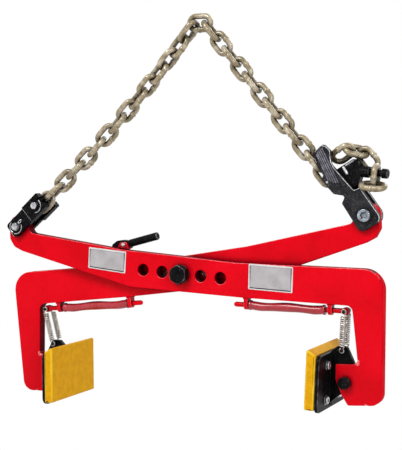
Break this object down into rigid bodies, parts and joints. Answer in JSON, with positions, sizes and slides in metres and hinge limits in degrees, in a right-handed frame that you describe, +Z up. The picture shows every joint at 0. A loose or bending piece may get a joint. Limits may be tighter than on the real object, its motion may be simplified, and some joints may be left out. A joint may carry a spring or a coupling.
{
  "type": "stone lifting clamp",
  "caption": "Scissor-type stone and kerb lifting clamp: crossed red plate arms on a pivot bolt, swivelling jaws with rubber pads, carrying grips, hold-open latch and a two-leg chain.",
  "frame": {"origin": "where a lifting hook bears, on the inside of the top chain link's upper side", "axes": "+Z up, +X across the clamp from the shackle side to the adjuster side, -Y the side the picture shows"},
  "size_m": [0.5886, 0.12, 0.5562],
  "materials": {
    "red_paint": "gloss",
    "black_steel": "satin",
    "bright_steel": "bright zinc plated",
    "zinc_chain": "yellow zinc plated",
    "pad_rubber": "matte",
    "grip_rubber": "satin"
  },
  "bodies": {
    "hook_link": {"hook_link": "zinc_chain"},
    "left_chain": {"left_chain_run": "zinc_chain", "shackle_front_plate": "black_steel", "shackle_rear_plate": "black_steel", "shackle_arm_bolt": "bright_steel", "shackle_arm_nut": "bright_steel", "shackle_chain_bolt": "bright_steel", "shackle_chain_nut": "bright_steel"},
    "front_arm": {"front_arm_plate": "red_paint", "right_outer_cheek": "red_paint", "right_inner_cheek": "red_paint", "right_jaw_bolt": "black_steel", "right_jaw_nut": "black_steel", "right_handle_rod": "red_paint", "right_grip": "grip_rubber", "right_lug_1": "red_paint", "right_lug_2": "red_paint", "right_spring_1": "bright_steel", "right_spring_2": "bright_steel", "pivot_bolt": "black_steel", "pivot_front_washer": "black_steel", "pivot_rear_washer": "black_steel", "pivot_spacer": "black_steel", "pivot_nut": "black_steel", "latch_lug": "red_paint", "latch_pivot": "bright_steel"},
    "back_arm": {"back_arm_plate": "red_paint", "left_outer_cheek": "red_paint", "left_inner_cheek": "red_paint", "left_jaw_bolt": "black_steel", "left_jaw_nut": "black_steel", "left_handle_rod": "red_paint", "left_grip": "grip_rubber", "left_lug_1": "red_paint", "left_lug_2": "red_paint", "left_spring_1": "bright_steel", "left_spring_2": "bright_steel", "latch_catch": "black_steel"},
    "right_jaw": {"right_jaw_bracket": "black_steel", "right_pad": "pad_rubber", "right_pad_screw_1": "bright_steel", "right_pad_screw_2": "bright_steel", "right_pad_screw_3": "bright_steel", "right_pad_screw_4": "bright_steel"},
    "left_jaw": {"left_jaw_bracket": "black_steel", "left_pad": "pad_rubber", "left_pad_screw_1": "bright_steel", "left_pad_screw_2": "bright_steel", "left_pad_screw_3": "bright_steel", "left_pad_screw_4": "bright_steel"},
    "latch": {"latch_lever": "black_steel"},
    "right_chain": {"right_chain_run": "zinc_chain"},
    "adjuster": {"adjuster_front_plate": "black_steel", "adjuster_rear_plate": "black_steel", "adjuster_claw": "black_steel", "adjuster_tail_pin": "black_steel", "adjuster_bolt": "bright_steel", "adjuster_nut": "bright_steel", "tail_chain_run": "zinc_chain"}
  },
  "joints": [
    {"name": "left_chain_swing", "type": "hinge", "parent": "hook_link", "child": "left_chain", "pos_m": [-0.0064, 0, -0.00525], "axis": [0, -1, 0], "range_deg": [-1.5, 2.5]},
    {"name": "shackle_hinge", "type": "hinge", "parent": "left_chain", "child": "front_arm", "pos_m": [-0.29105, -0.0088, -0.29403], "axis": [0, -1, 0], "range_deg": [-10.5, 5.5]},
    {"name": "scissor", "type": "hinge", "parent": "front_arm", "child": "back_arm", "pos_m": [-0.0219, 0, -0.35455], "axis": [0, 1, 0], "range_deg": [-16, 8]},
    {"name": "right_chain_swing", "type": "hinge", "parent": "hook_link", "child": "right_chain", "pos_m": [0.0064, 0, -0.00525], "axis": [0, -1, 0], "range_deg": [-3.2, 1.8]},
    {"name": "adjuster_hinge", "type": "hinge", "parent": "back_arm", "child": "adjuster", "pos_m": [0.24012, 0.0088, -0.26824], "axis": [0, -1, 0], "range_deg": [-11.2, 5.8]},
    {"name": "right_jaw_swivel", "type": "hinge", "parent": "front_arm", "child": "right_jaw", "pos_m": [0.21857, -0.0088, -0.48834], "axis": [0, -1, 0], "range_deg": [-12, 12], "stiffness_Nm_per_rad": 3, "springref_deg": -3.15, "deforming": ["right_spring_1", "right_spring_2"]},
    {"name": "left_jaw_swivel", "type": "hinge", "parent": "back_arm", "child": "left_jaw", "pos_m": [-0.24828, 0.0088, -0.51101], "axis": [0, -1, 0], "range_deg": [-12, 12], "stiffness_Nm_per_rad": 3, "springref_deg": 3.15, "deforming": ["left_spring_1", "left_spring_2"]},
    {"name": "latch_pivot", "type": "hinge", "parent": "front_arm", "child": "latch", "pos_m": [-0.1198, 0.005, -0.31705], "axis": [0, 1, 0], "range_deg": [-6, 18]}
  ],
  "couplings": [
    {"joint": "left_chain_swing", "follows": "scissor", "ratio": -0.1211},
    {"joint": "shackle_hinge", "follows": "scissor", "ratio": 0.6262},
    {"joint": "adjuster_hinge", "follows": "scissor", "ratio": 0.6721},
    {"joint": "right_chain_swing", "follows": "scissor", "ratio": 0.1772}
  ]
}
